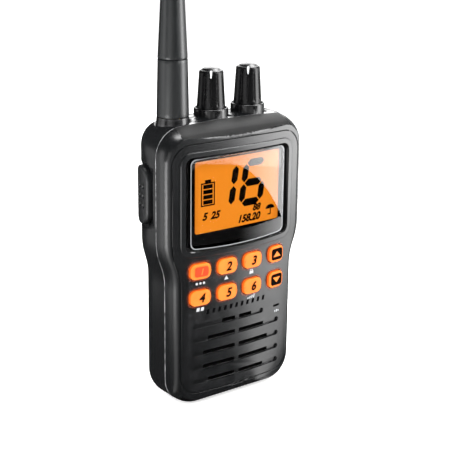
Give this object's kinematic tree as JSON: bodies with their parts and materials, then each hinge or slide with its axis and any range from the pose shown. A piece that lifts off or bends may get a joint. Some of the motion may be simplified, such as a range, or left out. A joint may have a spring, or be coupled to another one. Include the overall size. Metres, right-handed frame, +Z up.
{
  "type": "handheld marine radio",
  "caption": "Waterproof handheld VHF marine radio with backlit display and keypad, two knobs, stub antenna, side talk button, screwed-on battery pack and belt clip.",
  "frame": {"origin": "middle of the flat base that the radio stands on", "axes": "+X to the right as seen by someone facing the display, -Y out of the front, +Z up along the antenna"},
  "size_m": [0.0677, 0.0367, 0.236],
  "materials": {
    "case_plastic": "fine-grained moulded plastic, satin",
    "tray_plastic": "plain moulded plastic",
    "lens": "clear hard-coated plastic window",
    "lcd": "display glass lit orange from behind",
    "light_plate": "clear light guide",
    "key_rubber": "translucent silicone lit from behind",
    "seal_rubber": "soft seal rubber",
    "antenna_rubber": "satin moulded sheath",
    "talk_rubber": "matt moulded rubber",
    "knob_plastic": "fluted soft-touch plastic",
    "circuit_board": "lacquered circuit board",
    "steel": "plain stainless steel",
    "aluminium": "thin drawn sheet",
    "brass": "turned brass",
    "magnet": "sintered magnet",
    "felt": "thin acoustic felt",
    "cone_paper": "pressed cone",
    "pot_plastic": "moulded control body",
    "clip_plastic": "tough glass-filled nylon"
  },
  "bodies": {
    "case": {"front_case": "case_plastic", "rear_case": "case_plastic", "case_gasket": "seal_rubber", "case_screws": "steel", "display_window": "lens", "window_seal": "seal_rubber", "lcd_panel": "lcd", "lcd_frame": "tray_plastic", "light_plate": "light_plate", "keypad_web": "seal_rubber", "key_domes": "steel", "main_board": "circuit_board", "shield_cans": "aluminium", "mic_boot": "seal_rubber", "microphone": "aluminium", "speaker_felt": "felt", "speaker_frame": "steel", "speaker_cone": "cone_paper", "speaker_magnet": "magnet", "volume_pot": "pot_plastic", "squelch_pot": "pot_plastic", "pot_nuts": "steel", "antenna_socket": "brass", "antenna_nut": "brass", "antenna_seal": "seal_rubber", "antenna_collar": "case_plastic", "ptt_switch": "pot_plastic", "ptt_board": "circuit_board", "contact_pins": "brass", "pack_insert": "brass"},
    "volume": {"volume_shaft": "steel", "volume_knob": "knob_plastic"},
    "squelch": {"squelch_shaft": "steel", "squelch_knob": "knob_plastic"},
    "antenna": {"antenna_ferrule": "brass", "antenna_base": "antenna_rubber", "antenna_whip": "antenna_rubber", "antenna_core": "steel"},
    "key_1": {"key_1": "key_rubber"},
    "key_2": {"key_2": "key_rubber"},
    "key_3": {"key_3": "key_rubber"},
    "key_up": {"key_up": "key_rubber"},
    "key_4": {"key_4": "key_rubber"},
    "key_5": {"key_5": "key_rubber"},
    "key_6": {"key_6": "key_rubber"},
    "key_down": {"key_down": "key_rubber"},
    "talk": {"ptt_button": "talk_rubber"},
    "battery": {"battery_cover": "case_plastic", "battery_tray": "tray_plastic", "battery_cells": "aluminium", "pack_contacts": "brass", "pack_seal": "seal_rubber", "clip_mount": "steel", "clip_screws": "steel"},
    "pack_screw": {"pack_screw": "steel"},
    "pack_ring": {"pack_ring": "steel"},
    "belt_clip": {"belt_clip": "clip_plastic", "clip_pin": "steel", "clip_spring": "steel"}
  },
  "joints": [
    {"name": "volume_turn", "type": "hinge", "parent": "case", "child": "volume", "pos_m": [-0.003, 0.0011, 0.12], "axis": [0, 0, 1], "range_deg": [-112.6, 187.4]},
    {"name": "squelch_turn", "type": "hinge", "parent": "case", "child": "squelch", "pos_m": [0.0147, 0.0011, 0.12], "axis": [0, 0, 1], "range_deg": [-112.6, 187.4]},
    {"name": "antenna_unscrew", "type": "hinge", "parent": "case", "child": "antenna", "pos_m": [-0.0207, 0.0011, 0.118], "axis": [0, 0, 1], "range_deg": [0, 360]},
    {"name": "key_1_press", "type": "slide", "parent": "case", "child": "key_1", "axis": [0, 1, 0], "range_m": [0, 0.0006], "stiffness_N_per_m": 1500},
    {"name": "key_2_press", "type": "slide", "parent": "case", "child": "key_2", "axis": [0, 1, 0], "range_m": [0, 0.0006], "stiffness_N_per_m": 1500},
    {"name": "key_3_press", "type": "slide", "parent": "case", "child": "key_3", "axis": [0, 1, 0], "range_m": [0, 0.0006], "stiffness_N_per_m": 1500},
    {"name": "key_up_press", "type": "slide", "parent": "case", "child": "key_up", "axis": [0, 1, 0], "range_m": [0, 0.0006], "stiffness_N_per_m": 1500},
    {"name": "key_4_press", "type": "slide", "parent": "case", "child": "key_4", "axis": [0, 1, 0], "range_m": [0, 0.0006], "stiffness_N_per_m": 1500},
    {"name": "key_5_press", "type": "slide", "parent": "case", "child": "key_5", "axis": [0, 1, 0], "range_m": [0, 0.0006], "stiffness_N_per_m": 1500},
    {"name": "key_6_press", "type": "slide", "parent": "case", "child": "key_6", "axis": [0, 1, 0], "range_m": [0, 0.0006], "stiffness_N_per_m": 1500},
    {"name": "key_down_press", "type": "slide", "parent": "case", "child": "key_down", "axis": [0, 1, 0], "range_m": [0, 0.0006], "stiffness_N_per_m": 1500},
    {"name": "talk_press", "type": "slide", "parent": "case", "child": "talk", "axis": [1, 0, 0], "range_m": [0, 0.001], "stiffness_N_per_m": 1500},
    {"name": "battery_slide", "type": "slide", "parent": "case", "child": "battery", "axis": [0, 1, 0], "range_m": [0, 0.045]},
    {"name": "pack_screw_turn", "type": "hinge", "parent": "battery", "child": "pack_screw", "pos_m": [0, 0.0112, 0.02], "axis": [0, 1, 0], "range_deg": [0, 360]},
    {"name": "ring_lift", "type": "hinge", "parent": "pack_screw", "child": "pack_ring", "pos_m": [0, 0.0112, 0.02], "axis": [1, 0, 0], "range_deg": [0, 90]},
    {"name": "clip_open", "type": "hinge", "parent": "battery", "child": "belt_clip", "pos_m": [0, 0.017, 0.06], "axis": [1, 0, 0], "range_deg": [0, 15], "stiffness_Nm_per_rad": 0.05, "springref_deg": -5.73}
  ]
}
